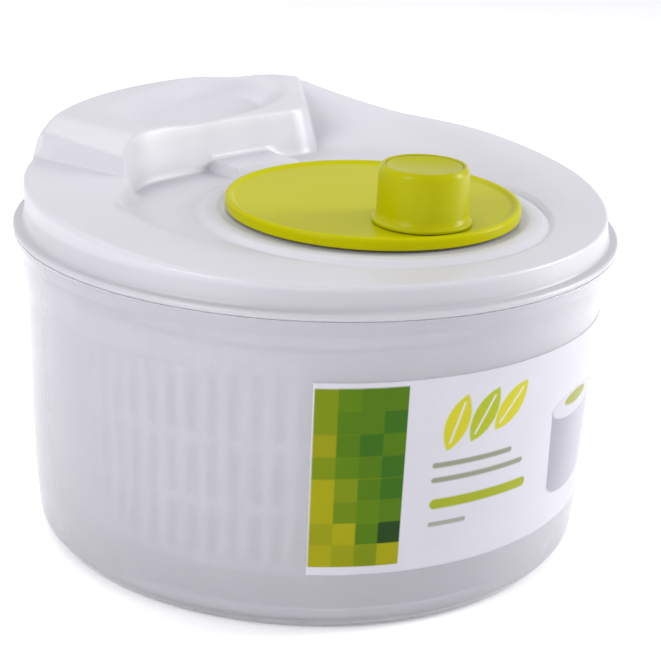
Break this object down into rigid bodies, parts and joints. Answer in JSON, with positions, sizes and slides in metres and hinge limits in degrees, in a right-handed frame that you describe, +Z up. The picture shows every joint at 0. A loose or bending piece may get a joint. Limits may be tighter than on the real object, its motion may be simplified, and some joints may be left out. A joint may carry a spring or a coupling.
{
  "type": "salad spinner",
  "caption": "Hand cranked salad spinner: frosted bowl, slotted basket, frosted lid with a raised grip, and an offset geared crank disc with a turning knob.",
  "frame": {"origin": "on the bowl's axis, in the plane of the surface that the bowl stands on", "axes": "+Z up along the bowl's axis; +Y towards the grip hump, so the crank's axis and the label's middle are at -Y"},
  "size_m": [0.204, 0.204, 0.1387],
  "materials": {
    "frosted_bowl": "frosted translucent polypropylene, fine satin texture",
    "frosted_lid": "frosted translucent polypropylene, satin with polished edges",
    "basket_white": "natural white polypropylene, satin",
    "green_plastic": "lime green polypropylene, semi gloss",
    "film_label": "printed clear film, smooth",
    "white_nylon": "white acetal, satin",
    "steel": "zinc plated steel"
  },
  "bodies": {
    "bowl": {"bowl": "frosted_bowl", "label": "film_label", "pivot_pin": "steel"},
    "lid": {"lid": "frosted_lid", "gear_housing": "frosted_lid", "housing_screws": "steel", "pinion_bush": "white_nylon"},
    "crank": {"crank_disc": "green_plastic", "ring_gear": "white_nylon", "ring_gear_screws": "steel", "crank_thrust_washer": "white_nylon", "crank_washer": "steel", "crank_screw": "steel", "knob_pin": "white_nylon", "knob_washer": "steel"},
    "knob": {"knob": "green_plastic", "knob_cap": "green_plastic"},
    "driver": {"pinion_gear": "white_nylon", "drive_plate": "basket_white", "drive_plate_washer": "steel", "drive_plate_screw": "steel"},
    "pivot_bush": {"pivot_bush": "white_nylon"},
    "basket": {"basket": "basket_white"}
  },
  "joints": [
    {"name": "lid_lift", "type": "slide", "parent": "bowl", "child": "lid", "axis": [0, 0, 1], "range_m": [0, 0.25]},
    {"name": "crank_spin", "type": "hinge", "parent": "lid", "child": "crank", "pos_m": [0, -0.0264, 0.1187], "axis": [0, 0, 1], "continuous": true},
    {"name": "knob_spin", "type": "hinge", "parent": "crank", "child": "knob", "pos_m": [-0.0073, -0.0551, 0.128], "axis": [0, 0, 1], "continuous": true},
    {"name": "driver_spin", "type": "hinge", "parent": "lid", "child": "driver", "pos_m": [0, 0, 0.104], "axis": [0, 0, 1], "continuous": true},
    {"name": "basket_lift", "type": "slide", "parent": "bowl", "child": "pivot_bush", "axis": [0, 0, 1], "range_m": [0, 0.115]},
    {"name": "basket_spin", "type": "hinge", "parent": "pivot_bush", "child": "basket", "pos_m": [0, 0, 0.017], "axis": [0, 0, 1], "continuous": true}
  ],
  "couplings": [
    {"joint": "driver_spin", "follows": "crank_spin", "ratio": 3.75},
    {"joint": "basket_spin", "follows": "crank_spin", "ratio": 3.75},
    {"joint": "basket_lift", "follows": "lid_lift", "ratio": 0.46}
  ]
}
